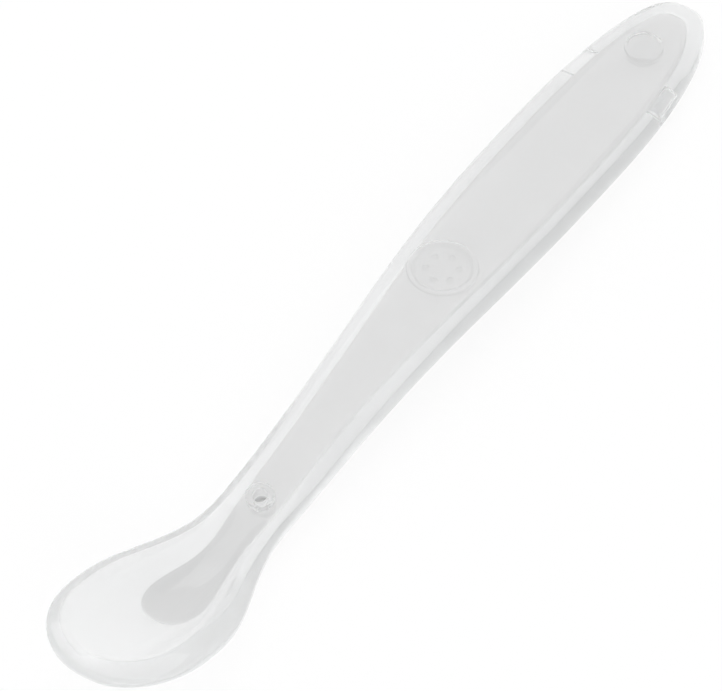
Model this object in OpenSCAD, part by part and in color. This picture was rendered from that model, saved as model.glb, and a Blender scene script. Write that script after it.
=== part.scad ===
// Baby spoon: a stiff white core strip moulded into a clear soft silicone body.
// X runs from the bowl tip to the handle end, Z is up and Y = 0 is the plane of symmetry.
// Places along the spoon are measured from the bowl tip, and the origin is below mid-length.
// The spoon lies at Z = 0 on the flattened heel of its bowl and the flat under its handle end.

/* [Spoon] */
// Length from the bowl tip to the handle end
spoon_length = 150; // [130:1:170]
// How deep the heel and the handle end are cut flat, so that the spoon lies still
rest_flat = 0.2; // [0.1:0.05:0.4]

/* [Bowl] */
// Width of the bowl at its widest
bowl_width = 22.6; // [18:0.2:28]
// Place of the widest point of the bowl
bowl_widest_x = 13.5; // [10:0.5:18]
// Depth of the underside below the rim line where the bowl is deepest
bowl_depth = 5.4; // [4.4:0.1:7]
// Place of the deepest point of the bowl
bowl_deepest_x = 22; // [18:0.5:26]
// Width of the rounded rim
rim_width = 3.6; // [2.8:0.1:4.4]
// Width of the rim where it has run out to the neck
neck_rim_width = 1.6; // [1.2:0.1:2.2]
// Half of the rim's thickness at the bowl tip
rim_edge = 1; // [0.7:0.1:1.4]
// Thickness of the bowl floor, with the tongue of the core inside it
floor_wall = 3; // [2.6:0.1:3.4]
// Height of the rim line at the bowl tip
tip_height = 12; // [9:0.5:15]
// Place where the basin reaches its full depth behind the tip
basin_full_x = 15; // [11:0.5:20]
// Place where the basin begins to rise towards the neck
basin_rise_x = 29; // [25:0.5:33]
// Place where the basin has run out into the neck
basin_end_x = 47; // [44:0.5:54]

/* [Neck] */
// Width of the neck at its narrowest
neck_width = 10.6; // [9:0.2:13]
// Place of the narrowest point of the neck
neck_x = 42.4; // [38:0.2:48]
// Depth of the underside below the rim line at the neck
neck_depth = 3.6; // [3:0.1:4.5]
// Lowest height of the rim line, just before the neck
low_height = 4.1; // [3.6:0.1:5]
// Place of the lowest point of the rim line
low_x = 37; // [33:0.5:41]

/* [Handle] */
// Width of the handle at its widest
handle_width = 17.4; // [14:0.2:22]
// Distance of the widest point of the handle from the handle end
handle_widest_back = 34; // [26:1:45]
// Depth of the underside below the side line of the handle
handle_depth = 2.9; // [2.6:0.1:3.6]
// Height of the top face above the side line of the handle
handle_crown = 2.8; // [2.6:0.1:3.6]
// Place where the top face starts to swell behind the bowl
swell_start_x = 35; // [31:0.5:39]
// Place where the top face has its full swell
swell_end_x = 64; // [56:1:72]
// Height of the side line at the crest of the arched handle
crest_height = 6.3; // [5:0.1:9]
// Place of the crest
crest_x = 83; // [75:1:92]
// Height of the side line at the handle end
end_height = 2.7; // [2.5:0.1:2.9]

/* [Core strip] */
// Silicone beside the core strip in the handle
side_wall = 2.5; // [1.8:0.1:3]
// Silicone above the core strip in the handle
top_cover = 0.6; // [0.5:0.05:0.8]
// Silicone above the tongue in the bowl
tongue_cover = 0.9; // [0.6:0.05:1]
// Thickness of the core strip in the handle
strip_thickness = 1.9; // [1.6:0.1:2.3]
// Thickness of the tongue of the core strip in the bowl floor
tongue_thickness = 1; // [0.8:0.1:1.1]
// Place of the rounded tip of the tongue in the bowl floor
tongue_tip_x = 16.6; // [14:0.2:19]
// Width of the tongue
tongue_width = 10.3; // [8:0.1:11]
// Place of the widest point of the tongue
tongue_widest_x = 23.4; // [21:0.2:26]
// Width of the core strip at its waist
waist_width = 5.8; // [4.4:0.1:6.4]
// Place of the waist
waist_x = 35.4; // [33:0.2:38]
// Place from which the core strip follows the outline of the handle
follow_x = 60; // [54:1:68]
// Silicone behind the core strip at the handle end
end_wall = 3.3; // [2.5:0.1:5]

/* [Neck boss] */
// Diameter of the round silicone boss at the neck
neck_boss_d = 4; // [3:0.1:5]
// Place of the neck boss
neck_boss_x = 42.4; // [40:0.2:45]
// Height of the neck boss above the top face around it
neck_boss_proud = 1.2; // [0.8:0.05:1.5]
// Diameter of the hole through the boss, which bares the core strip at its bottom
neck_hole_d = 2.2; // [2.2:0.1:2.6]
// Diameter of the blind bore in the core strip below the hole
core_bore_d = 2; // [1.6:0.1:2.1]
// Depth of the blind bore
core_bore_depth = 0.9; // [0.5:0.1:0.9]

/* [Thumb disc] */
// Diameter of the thumb disc on the handle
disc_d = 9.9; // [8:0.1:11]
// Place of the thumb disc
disc_x = 87; // [82:0.5:92]
// Height of the rim of the disc above the top face of the handle
disc_proud = 0.35; // [0.2:0.05:0.5]
// Width of the rim of the disc
disc_rim = 0.6; // [0.3:0.05:0.8]
// Depth of the dished face inside the rim
disc_dish = 0.35; // [0.15:0.05:0.5]
// Width of the slope between the rim and the dished face
disc_slope = 0.5; // [0.3:0.1:1]
// Number of grip domes on the dished face
dome_count = 6; // [4:1:8]
// Diameter of each grip dome
dome_d = 1.1; // [0.8:0.1:1.4]
// Height of each grip dome
dome_h = 0.35; // [0.2:0.05:0.4]
// Diameter of the circle on which the grip domes stand
dome_circle_d = 4.6; // [3.6:0.1:5.2]

/* [End pad] */
// Diameter of the round pad near the handle end
pad_d = 5.4; // [4:0.1:6.5]
// Distance of the pad from the handle end
pad_back = 11.9; // [10:0.1:15]
// Height of the lip of the pad above the top face of the handle
pad_proud = 0.8; // [0.4:0.05:1]
// Width of the lip of the pad
pad_lip = 0.35; // [0.2:0.05:0.6]
// Depth of the flat face inside the lip
pad_dish = 0.15; // [0.1:0.05:0.3]

/* [Side windows] */
// Length of the slot in each side wall, which bares the edge of the core strip
window_length = 5.6; // [4:0.1:8]
// Height of the slot
window_height = 1.4; // [1:0.1:1.8]
// How far the slot reaches in past the edge of the core strip
window_bite = 0.3; // [0.2:0.05:0.5]
// Distance of the middle of the slot from the handle end
window_back = 17.6; // [15:0.2:24]

/* [Hidden] */

$fn = 48;
overrun = 1;
body_rings = 84;
body_ring_points = 36;
core_rings = 50;
core_ring_points = 20;

// Powers of the rounded outlines: 2 is an ellipse, and more is nearer to a rectangle
bowl_plan_share = 2.16;
handle_plan_share = 2.4;
bowl_section_share = 2.2;
handle_section_share = 3;
core_section_share = 4;
basin_wall_share = 3.2;
basin_edge_share = 1.6;
end_fullness_share = 1.6;

handle_widest_x = spoon_length - handle_widest_back;
core_end_x = spoon_length - end_wall;
pad_x = spoon_length - pad_back;
window_x = spoon_length - window_back;
slope_step = spoon_length / body_rings;

function limited(t) = min(max(t, 0), 1);
function ease(t) = let (s = limited(t)) s * s * (3 - 2 * s);
function slow_ease(t) = let (s = limited(t)) s * s * s * (s * (6 * s - 15) + 10);
function share(x, from, to) = (x - from) / (to - from);
function mix(a, b, t) = a + (b - a) * t;
function signed_pow(v, p) = sign(v) * pow(abs(v), p);
function round_out(t, p) = pow(max(0, 1 - pow(limited(t), p)), 1 / p);
function edge_round(run, r) = sqrt(1 - pow(limited(1 - run / r), 2));

// Half of the width of the spoon, seen from above
function half_width(x) =
    x < bowl_widest_x
        ? bowl_width / 2 * round_out(1 - x / bowl_widest_x, bowl_plan_share)
    : x < neck_x
        ? mix(bowl_width, neck_width, slow_ease(share(x, bowl_widest_x, neck_x))) / 2
    : x < handle_widest_x
        ? mix(neck_width, handle_width, slow_ease(share(x, neck_x, handle_widest_x))) / 2
        : handle_width / 2 * round_out(share(x, handle_widest_x, spoon_length), handle_plan_share);

// Height of the rim line of the bowl and the side line of the handle, seen from the side
function side_line(x) =
    x < low_x ? mix(tip_height, low_height, ease(x / low_x))
    : x < crest_x ? mix(low_height, crest_height, ease(share(x, low_x, crest_x)))
    : mix(crest_height, end_height, ease(share(x, crest_x, spoon_length)));

// How far the underside hangs below the side line on the plane of symmetry
function keel(x) =
    edge_round(x, rim_edge) * edge_round(spoon_length - x, handle_depth * end_fullness_share)
    * (x < bowl_deepest_x
        ? mix(rim_edge, bowl_depth, 1 - pow(1 - x / bowl_deepest_x, 2))
    : x < neck_x
        ? mix(bowl_depth, neck_depth, ease(share(x, bowl_deepest_x, neck_x)))
        : mix(neck_depth, handle_depth, ease(share(x, neck_x, crest_x))));

// How far the top face swells above the side line, before the basin is cut
function swell(x) =
    edge_round(x, rim_edge) * edge_round(spoon_length - x, handle_crown * end_fullness_share)
    * mix(rim_edge, handle_crown, ease(share(x, swell_start_x, swell_end_x)));

// A smooth step from 0 in the bowl to 1 in the handle
function out_of_bowl(x) = ease(share(x, basin_rise_x, follow_x));

// The sections turn from nearly elliptical in the bowl to fuller ones in the handle
function section_power(x) = mix(bowl_section_share, handle_section_share, out_of_bowl(x));

// Half of the width of the basin: the outline moved in by the rim, which narrows to the neck
function basin_half_width(x) =
    x < bowl_widest_x
        ? (bowl_width / 2 - rim_width)
            * round_out(1 - share(x, rim_width, bowl_widest_x), bowl_plan_share)
        : half_width(x)
            - mix(rim_width, neck_rim_width, ease(share(x, bowl_deepest_x, neck_x)));

// Depth of the basin on the plane of symmetry, which leaves the floor at its wall
function basin_depth(x) =
    max(0, swell(x) + keel(x) - floor_wall)
    * round_out(1 - share(x, rim_width, basin_full_x), basin_wall_share)
    * (1 - ease(share(x, basin_rise_x, basin_end_x)));

function basin_share(x, y) =
    let (inner = basin_half_width(x))
    inner > 0 && abs(y) < inner
        ? pow(1 - pow(abs(y) / inner, basin_wall_share), basin_edge_share)
        : 0;

function section_share(x, y) = round_out(abs(y) / half_width(x), section_power(x));
function top_face(x, y = 0) =
    side_line(x) + swell(x) * section_share(x, y) - basin_depth(x) * basin_share(x, y);

// One closed section of the silicone body, counted round from its right edge
function body_ring(x) =
    let (p = 2 / section_power(x))
    [for (i = [0 : body_ring_points - 1])
        let (
            a = 360 * i / body_ring_points,
            y = half_width(x) * signed_pow(cos(a), p),
            rise = signed_pow(sin(a), p)
        )
        [x, y, side_line(x) + (rise > 0
            ? rise * swell(x) - basin_depth(x) * basin_share(x, y)
            : rise * keel(x))]
    ];

function core_half_width(x) =
    x < tongue_widest_x
        ? tongue_width / 2 * round_out(1 - share(x, tongue_tip_x, tongue_widest_x), 2)
    : x < waist_x
        ? mix(tongue_width, waist_width, ease(share(x, tongue_widest_x, waist_x))) / 2
    : x < handle_widest_x
        ? mix(waist_width / 2, half_width(x) - side_wall, ease(share(x, waist_x, follow_x)))
        : (handle_width / 2 - side_wall)
            * round_out(share(x, handle_widest_x, core_end_x), handle_plan_share);

// Half of the thickness of the core strip between its two rounded ends
function core_full_half(x) = mix(tongue_thickness, strip_thickness, out_of_bowl(x)) / 2;

// The core strip is flat across. It lies below the middle of the basin in the bowl, and below
// the lower sides of the crowned top face in the handle.
function core_middle(x) =
    let (
        turn = ease(share(x, basin_end_x, follow_x)),
        lowest = mix(top_face(x), top_face(x, core_half_width(x)), turn)
    )
    lowest - mix(tongue_cover, top_cover, out_of_bowl(x)) - core_full_half(x);
function core_half_thickness(x) =
    let (full = core_full_half(x))
    full * edge_round(x - tongue_tip_x, full) * edge_round(core_end_x - x, full);
function core_top(x) = core_middle(x) + core_half_thickness(x);

function core_ring(x) =
    let (p = 2 / core_section_share)
    [for (i = [0 : core_ring_points - 1])
        let (
            a = 360 * i / core_ring_points,
            y = core_half_width(x) * signed_pow(cos(a), p)
        )
        [x, y, core_middle(x) + core_half_thickness(x) * signed_pow(sin(a), p)]
    ];

// Stations that crowd towards both ends, where the outline turns fastest
function stations(from, to, n) =
    [for (i = [1 : n - 1]) mix(from, to, (1 - cos(180 * i / n)) / 2)];

// A closed skin over rings of points, with one pole before the first ring and one after the last
module skin(rings, first_pole, last_pole) {
    n = len(rings[0]);
    last = len(rings) - 1;
    points = concat([first_pole], [for (r = rings) each r], [last_pole]);
    function at(ring, i) = 1 + ring * n + i % n;
    faces = concat(
        [for (i = [0 : n - 1]) [0, at(0, i), at(0, i + 1)]],
        [for (r = [0 : last - 1], i = [0 : n - 1]) each [
            [at(r, i), at(r + 1, i), at(r + 1, i + 1)],
            [at(r, i), at(r + 1, i + 1), at(r, i + 1)]
        ]],
        [for (i = [0 : n - 1]) [len(points) - 1, at(last, i + 1), at(last, i)]]
    );
    polyhedron(points = points, faces = faces);
}

// Puts a shape at a place along the spoon, square to a face that rises that far over two steps
module square_to_face(x, height, rise) {
    translate([x, 0, height]) rotate([0, -atan2(rise, 2 * slope_step), 0]) children();
}

module on_top_face(x, height) {
    square_to_face(x, height, top_face(x + slope_step) - top_face(x - slope_step)) children();
}

// A round boss that rises from the middle of the silicone to the given height above its top face
module boss(x, d, proud) {
    root = core_middle(x);
    on_top_face(x, root) cylinder(h = top_face(x) + proud - root, d = d);
}

module bosses() {
    boss(neck_boss_x, neck_boss_d, neck_boss_proud);
    boss(disc_x, disc_d, disc_proud);
    boss(pad_x, pad_d, pad_proud);
}

module core_blank() {
    skin([for (x = stations(tongue_tip_x, core_end_x, core_rings)) core_ring(x)],
        [tongue_tip_x, 0, core_middle(tongue_tip_x)],
        [core_end_x, 0, core_middle(core_end_x)]);
}

// The blind bore in which the mould pin holds the core strip
module core_bore() {
    rise = core_top(neck_boss_x + slope_step) - core_top(neck_boss_x - slope_step);
    square_to_face(neck_boss_x, core_top(neck_boss_x) - core_bore_depth, rise)
        cylinder(h = core_bore_depth + overrun, d = core_bore_d);
}

// The hole left by the mould pin above the bore: it runs down into the core's room
module neck_hole() {
    root = core_middle(neck_boss_x);
    on_top_face(neck_boss_x, root)
        cylinder(h = top_face(neck_boss_x) + neck_boss_proud + overrun - root, d = neck_hole_d);
}

module disc_hollow() {
    face_d = disc_d - 2 * (disc_rim + disc_slope);
    on_top_face(disc_x, top_face(disc_x) + disc_proud - disc_dish) {
        cylinder(h = disc_dish, d1 = face_d, d2 = face_d + 2 * disc_slope);
        translate([0, 0, disc_dish]) cylinder(h = overrun, d = face_d + 2 * disc_slope);
    }
}

module pad_hollow() {
    on_top_face(pad_x, top_face(pad_x) + pad_proud - pad_dish)
        cylinder(h = pad_dish + overrun, d = pad_d - 2 * pad_lip);
}

// A shallow cap of a ball, which stands on the dished face and reaches into it by its own height
module grip_dome() {
    ball_r = (dome_d * dome_d / 4 + dome_h * dome_h) / (2 * dome_h);
    intersection() {
        translate([0, 0, dome_h - ball_r]) sphere(r = ball_r);
        translate([0, 0, -dome_h]) cylinder(h = 2 * dome_h, d = 2 * dome_d);
    }
}

module grip_domes() {
    on_top_face(disc_x, top_face(disc_x) + disc_proud - disc_dish)
        for (i = [0 : dome_count - 1])
            rotate([0, 0, 360 * i / dome_count]) translate([dome_circle_d / 2, 0, 0]) grip_dome();
}

// A slot with round ends that runs from the edge of the core strip out through the side wall
module side_window() {
    run = half_width(window_x);
    round_x = (window_length - window_height) / 2;
    translate([window_x, core_half_width(window_x) - window_bite, side_line(window_x)]) {
        for (side = [-1, 1])
            translate([side * round_x, 0, 0]) rotate([-90, 0, 0]) cylinder(h = run, d = window_height);
        translate([-round_x, 0, -window_height / 2]) cube([2 * round_x, run, window_height]);
    }
}

module body_blank() {
    skin([for (x = stations(0, spoon_length, body_rings)) body_ring(x)],
        [0, 0, tip_height],
        [spoon_length, 0, end_height]);
}

module ground() {
    translate([-overrun, -bowl_width, -bowl_depth])
        cube([spoon_length + 2 * overrun, 2 * bowl_width, bowl_depth]);
}

module silicone_body() {
    color("white", 0.45)
        translate([-spoon_length / 2, 0, 0]) {
            difference() {
                translate([0, 0, -rest_flat]) {
                    body_blank();
                    bosses();
                }
                ground();
                translate([0, 0, -rest_flat]) {
                    core_blank();
                    neck_hole();
                    disc_hollow();
                    pad_hollow();
                    side_window();
                    mirror([0, 1, 0]) side_window();
                }
            }
            translate([0, 0, -rest_flat]) grip_domes();
        }
}

module core_strip() {
    color("whitesmoke")
        translate([-spoon_length / 2, 0, -rest_flat])
            difference() {
                core_blank();
                core_bore();
            }
}

silicone_body();
core_strip();
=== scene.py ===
"""Dresses the baby spoon: clear moulded silicone round a white nylon core, on a pale studio floor."""

import math

import bpy
import numpy as np
from bpy.props import FloatProperty, FloatVectorProperty, IntProperty, PointerProperty
from mathutils import Matrix, Vector


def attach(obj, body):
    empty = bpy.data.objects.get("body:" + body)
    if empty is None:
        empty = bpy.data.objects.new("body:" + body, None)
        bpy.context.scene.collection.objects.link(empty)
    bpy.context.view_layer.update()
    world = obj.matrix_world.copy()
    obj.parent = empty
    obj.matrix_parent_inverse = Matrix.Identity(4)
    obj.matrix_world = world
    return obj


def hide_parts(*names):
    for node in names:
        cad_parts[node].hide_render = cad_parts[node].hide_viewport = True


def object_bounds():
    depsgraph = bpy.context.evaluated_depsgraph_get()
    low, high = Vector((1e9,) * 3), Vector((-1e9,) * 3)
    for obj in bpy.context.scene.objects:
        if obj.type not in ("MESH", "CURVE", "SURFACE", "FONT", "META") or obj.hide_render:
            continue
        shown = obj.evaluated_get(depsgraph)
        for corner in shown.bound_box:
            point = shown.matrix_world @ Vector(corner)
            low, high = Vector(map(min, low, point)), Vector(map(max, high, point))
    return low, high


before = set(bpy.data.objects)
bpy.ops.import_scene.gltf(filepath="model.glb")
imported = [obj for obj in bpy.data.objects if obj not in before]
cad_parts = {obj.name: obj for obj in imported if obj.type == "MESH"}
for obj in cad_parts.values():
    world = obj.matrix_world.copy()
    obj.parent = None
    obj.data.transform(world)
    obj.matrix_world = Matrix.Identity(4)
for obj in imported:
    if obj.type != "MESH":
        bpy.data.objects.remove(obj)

bl_info = {
    "name": "Baby spoon",
    "version": (1, 0, 0),
    "blender": (4, 5, 0),
    "location": "3D View > Sidebar > Spoon",
    "description": "Makes a two-shot moulded baby spoon and the studio that shows it",
    "category": "Add Mesh",
}

BODY = "root"
MM = 0.001
CAD_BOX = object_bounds()
SPOON_LENGTH = CAD_BOX[1].x - CAD_BOX[0].x
BOWL_WIDTH = CAD_BOX[1].y - CAD_BOX[0].y

# Resolution of the surfaces: stations along the spoon and points round a section, the stations
# that a relief or a slot adds, the rings down their walls, the steps of a rounded corner, the
# rings of the disc's face, and the steps of the fine curves that places are read from
BODY_STATIONS = 170
BODY_POINTS = 240
RELIEF_STEPS = 20
SLOT_STEPS = 20
RELIEF_WALL_STEPS = 4
SLOT_WALL_STEPS = 6
CORE_STATIONS = 240
CORE_POINTS = 144
CORNER_STEPS = 6
FACE_RINGS = 34
FINE_STEPS = 6000

# Powers of the rounded outlines: 2 is an ellipse, and more is nearer to a rectangle
BOWL_PLAN_SHARE = 2.16
HANDLE_PLAN_SHARE = 2.4
BOWL_SECTION_SHARE = 2.2
HANDLE_SECTION_SHARE = 3.0
CORE_SECTION_SHARE = 4.0
BASIN_WALL_SHARE = 3.2
BASIN_EDGE_SHARE = 1.6
END_FULLNESS_SHARE = 1.6
EVEN_SECTION_SHARE = 2.5
DOME_SHARE = 1.3

# A mouth's block reaches over less than one part in this many of the section's points
BLOCK_REACH = 8
# Half of the block's size, as a share of the mouth's reach
BLOCK_SHARE = 0.85
# How far round the block the points are drawn in, in half sizes of the block
DRAWN_SHARE = 2.2

# A corner's rounding takes up at most this share of the shorter side beside it
CORNER_SHARE = 1 / 3

# Where a section turns towards its sides, as shares of its half width
SIDE_START_SHARE = 0.6
SIDE_END_SHARE = 0.8

# Keeps a division away from zero
TINY = 1e-9

# Clear silicone: refractive index, and the spacing, height and strength of its skin's waves
SILICONE_IOR = 1.41
WAVE_SPACING = 2.4 * MM
WAVE_HEIGHT = 0.01 * MM
WAVE_STRENGTH = 0.25

# Octaves of the fine patterns and of the soft clouds
FINE_DETAIL = 2.0
CLOUD_DETAIL = 3.0

# White nylon: refractive index, how far light runs below its skin, the spacing and the darkest
# tone of its clouds, and the spacing, height and strength of its blasted grain
NYLON_IOR = 1.5
NYLON_DEPTH = 1 * MM
CLOUD_SPACING = 9 * MM
CLOUD_SHARE = 0.965
GRAIN_SPACING = 0.25 * MM
GRAIN_HEIGHT = 0.01 * MM
GRAIN_STRENGTH = 0.015

# The paper floor: how far it reaches, how far it lies below the spoon, and the share of plain
# white glow in it
FLOOR_REACH = 6.0
FLOOR_DROP = 0.05 * MM
FLOOR_GLOW_SHARE = 0.85

# Strength of the surroundings as light, and where they are seen
WORLD_LIGHT = 0.85
WORLD_WHITE = 1.0

# The soft lights: place in metres from the frame's origin, size in metres and power in watts
WINDOW_LIGHT = {"place": (0.45, 0.35, 0.9), "width": 0.9, "height": 0.9, "power": 3.0}
FRONT_LIGHT = {"place": (-0.8, -0.7, 0.45), "width": 0.8, "height": 0.5, "power": 3.0}

# Nearest and farthest things that the camera shows, as shares of its distance
CLIP_SHARES = (0.01, 10)

# How often light may turn in clear silicone before it is given up
LIGHT_BOUNCES = {
    "max_bounces": 24, "glossy_bounces": 16, "transmission_bounces": 24, "volume_bounces": 6}


def linear(hex_colour):
    """An sRGB hex colour as linear red, green and blue, by the standard sRGB curve."""
    parts = np.array([int(hex_colour[i:i + 2], 16) for i in (0, 2, 4)]) / 255
    return tuple(np.where(parts <= 0.04045, parts / 12.92, ((parts + 0.055) / 1.055) ** 2.4))


def size(label, about, millimetres):
    """A length that a user can change, shown in the scene's unit and kept in metres."""
    return FloatProperty(
        name=label, description=about, default=millimetres * MM, min=0, unit="LENGTH", precision=5
    )


def colour(label, about, hex_colour):
    """A colour that a user can change."""
    return FloatVectorProperty(
        name=label, description=about, default=linear(hex_colour), min=0, max=1, subtype="COLOR"
    )


def share_of(label, about, value):
    """A plain number from 0 to 1 that a user can change."""
    return FloatProperty(name=label, description=about, default=value, min=0, max=1)


def angle(label, about, degrees):
    """An angle that a user can change."""
    return FloatProperty(
        name=label, description=about, default=math.radians(degrees), subtype="ANGLE"
    )


def density(label, about, per_metre):
    """How strongly a volume acts on light, per metre, that a user can change."""
    return FloatProperty(name=label, description=about, default=per_metre, min=0)


class SPOON_PG_bowl(bpy.types.PropertyGroup):
    """Sizes of the bowl. Places are measured from its tip along the spoon."""

    widest_x: size("Widest place", "Place of the widest point of the bowl", 13.5)
    depth: size("Depth", "Underside below the rim line where the bowl is deepest", 5.4)
    deepest_x: size("Deepest place", "Place of the deepest point of the bowl", 22)
    rim_width: size("Rim width", "Width of the rounded rim", 3.6)
    neck_rim_width: size("Neck rim width", "Width of the rim at the neck", 1.6)
    rim_edge: size("Rim edge", "Half of the rim's thickness at the bowl tip", 1)
    floor_wall: size("Floor", "Thickness of the bowl floor", 3.0)
    tip_height: size("Tip height", "Height of the rim line at the bowl tip", 12)
    basin_full_x: size("Basin full", "Place where the basin is at full depth behind the tip", 15)
    basin_rise_x: size("Basin rise", "Place where the basin begins to rise to the neck", 29)
    basin_end_x: size("Basin end", "Place where the basin has run out into the neck", 47)


class SPOON_PG_handle(bpy.types.PropertyGroup):
    """Sizes of the neck and the handle."""

    neck_width: size("Neck width", "Width of the neck at its narrowest", 10.6)
    neck_x: size("Neck place", "Place of the narrowest point of the neck", 42.4)
    neck_depth: size("Neck depth", "Underside below the rim line at the neck", 3.6)
    low_height: size("Low height", "Lowest height of the rim line, before the neck", 4.1)
    low_x: size("Low place", "Place of the lowest point of the rim line", 37)
    width: size("Handle width", "Width of the handle at its widest", 17.4)
    widest_back: size("Widest back", "Widest point of the handle from the handle end", 34)
    depth: size("Handle depth", "Underside below the side line of the handle", 2.9)
    crown: size("Handle crown", "Top face above the side line of the handle", 2.8)
    swell_start_x: size("Swell start", "Place where the top face starts to swell", 35)
    swell_end_x: size("Swell end", "Place where the top face has its full swell", 64)
    crest_height: size("Crest height", "Height of the side line at the crest", 6.3)
    crest_x: size("Crest place", "Place of the crest of the arched handle", 83)
    end_height: size("End height", "Height of the side line at the handle end", 2.7)
    rest_flat: size("Rest flat", "How deep the heel and the handle end are cut flat", 0.2)
    flat_blend: size("Flat blend", "Softness of the edge of the resting flats", 0.06)


class SPOON_PG_core(bpy.types.PropertyGroup):
    """Sizes of the white core strip."""

    side_wall: size("Side wall", "Silicone beside the core strip in the handle", 2.5)
    top_cover: size("Top cover", "Silicone above the core strip in the handle", 0.6)
    tongue_cover: size("Tongue cover", "Silicone above the tongue in the bowl", 0.9)
    strip_thickness: size("Strip thickness", "Thickness of the core strip in the handle", 1.9)
    tongue_thickness: size("Tongue thickness", "Thickness of the tongue in the bowl", 1)
    tongue_tip_x: size("Tongue tip", "Place of the rounded tip of the tongue", 16.6)
    tongue_width: size("Tongue width", "Width of the tongue", 10.3)
    tongue_widest_x: size("Tongue widest", "Place of the widest point of the tongue", 23.4)
    waist_width: size("Waist width", "Width of the core strip at its waist", 5.8)
    waist_x: size("Waist place", "Place of the waist", 35.4)
    follow_x: size("Follow place", "Place from which the core follows the handle", 60)
    end_wall: size("End wall", "Silicone behind the core strip at the handle end", 3.3)


class SPOON_PG_reliefs(bpy.types.PropertyGroup):
    """Sizes of the neck boss, the thumb disc, the end pad and the side slots."""

    boss_d: size("Boss diameter", "Diameter of the neck boss", 4)
    boss_x: size("Boss place", "Place of the neck boss", 42.4)
    boss_proud: size("Boss height", "Neck boss above the top face", 1.2)
    hole_d: size("Hole diameter", "Diameter of the hole that bares the core in the boss", 2.2)
    bore_d: size("Bore diameter", "Diameter of the blind bore in the core below the hole", 2)
    bore_depth: size("Bore depth", "Depth of the blind bore in the core", 0.9)
    disc_d: size("Disc diameter", "Diameter of the thumb disc", 9.9)
    disc_x: size("Disc place", "Place of the thumb disc", 87)
    disc_proud: size("Disc height", "Rim of the thumb disc above the top face", 0.35)
    disc_rim: size("Disc rim", "Width of the rim of the thumb disc", 0.6)
    disc_dish: size("Disc dish", "Depth of the dished face of the thumb disc", 0.35)
    disc_slope: size("Disc slope", "Width of the slope inside the rim", 0.5)
    dome_count: IntProperty(name="Domes", description="Number of grip domes", default=6, min=1)
    dome_d: size("Dome diameter", "Diameter of each grip dome", 1.1)
    dome_h: size("Dome height", "Height of each grip dome", 0.35)
    dome_circle_d: size("Dome circle", "Diameter of the circle of grip domes", 4.6)
    pad_d: size("Pad diameter", "Diameter of the end pad", 5.4)
    pad_back: size("Pad back", "End pad from the handle end", 11.9)
    pad_proud: size("Pad height", "Lip of the end pad above the top face", 0.8)
    pad_lip: size("Pad lip", "Width of the lip of the end pad", 0.35)
    pad_dish: size("Pad dish", "Depth of the flat face inside the lip", 0.15)
    corner: size("Corner rounding", "Rounding of the moulded corners", 0.12)
    foot: size("Foot rounding", "Hollow round where a relief stands on the top face", 0.08)
    apron: size("Apron", "Ring of undisturbed skin round each mouth", 0.12)
    slot_length: size("Slot length", "Length of the slot in each side wall", 5.6)
    slot_height: size("Slot height", "Height of the slot", 1.4)
    slot_back: size("Slot back", "Middle of the slot from the handle end", 17.6)
    slot_bite: size("Slot bite", "How far the slot reaches in past the core's edge", 0.3)
    slot_edge: size("Slot edge", "Rounding of the mouth of the slot", 0.22)


class SPOON_PG_looks(bpy.types.PropertyGroup):
    """Colours and finishes of the two moulded materials."""

    silicone: colour("Silicone", "Tint of the clear silicone", "FFFFFF")
    silicone_depth: colour("Silicone depth", "Colour that thick silicone takes on", "C9CDCE")
    depth_density: density("Depth density", "How fast silicone takes up light with depth", 42)
    haze_density: density("Haze density", "How fast silicone scatters light with depth", 160)
    haze_forward: share_of("Haze forward", "How much the scattered light keeps its way", 0.6)
    core: colour("Core", "Colour of the white nylon", "D7D7D7")
    silicone_roughness: share_of("Silicone roughness", "How dull the silicone's gloss is", 0.06)
    skin_sheen: share_of("Skin sheen", "How much the soft skin brightens where it turns away", 0.4)
    sheen_roughness: share_of("Sheen roughness", "How wide that brightening spreads", 0.7)
    core_roughness: share_of("Core roughness", "How dull the nylon's gloss is", 0.38)
    lamp_share: share_of("Light let through", "Share of lamp light that one silicone face passes", 0.97)


class SPOON_PG_stage(bpy.types.PropertyGroup):
    """The camera and the light of the studio."""

    azimuth: angle("Azimuth", "Camera round the spoon", -55.95)
    elevation: angle("Elevation", "Camera above the floor", 50.22)
    roll: angle("Roll", "Turn of the camera about its view", -0.62)
    distance: size("Distance", "Camera from the point that it looks at", 1500)
    frame_width: size("Frame width", "Width that the picture shows at that point", 97.83)
    aim_x: size("Aim place", "Place along the spoon in the middle of the picture", 66.92)
    aim_z: size("Aim height", "Height in the middle of the picture", 12.66)
    floor: colour("Floor", "Colour of the paper sweep", "F4F4F4")
    backdrop: colour("Backdrop", "Colour of what surrounds the floor", "FFFFFF")


def clipped(t):
    """t held between 0 and 1."""
    return np.clip(t, 0, 1)


def ease(t):
    """The smooth step 3t² - 2t³, level at both ends."""
    t = clipped(t)
    return t * t * (3 - 2 * t)


def slow_ease(t):
    """The smoother step 6t⁵ - 15t⁴ + 10t³, level and without curvature at both ends."""
    t = clipped(t)
    return t ** 3 * (t * (6 * t - 15) + 10)


def between(x, start, end):
    """How far x lies from start to end, 0 at start and 1 at end."""
    return (x - start) / (end - start)


def mix(a, b, t):
    """a at t = 0 and b at t = 1."""
    return a + (b - a) * t


def round_out(t, power):
    """A superellipse quarter, (1 - t^p)^(1/p)."""
    return np.maximum(0, 1 - clipped(t) ** power) ** (1 / power)


def edge_round(run, radius):
    """A quarter circle that rises from 0 at the edge to 1 at its radius."""
    return np.sqrt(1 - clipped(1 - run / radius) ** 2)


def signed_power(value, power):
    """The power of the size of value, with the sign of value."""
    return np.sign(value) * np.abs(value) ** power


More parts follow.
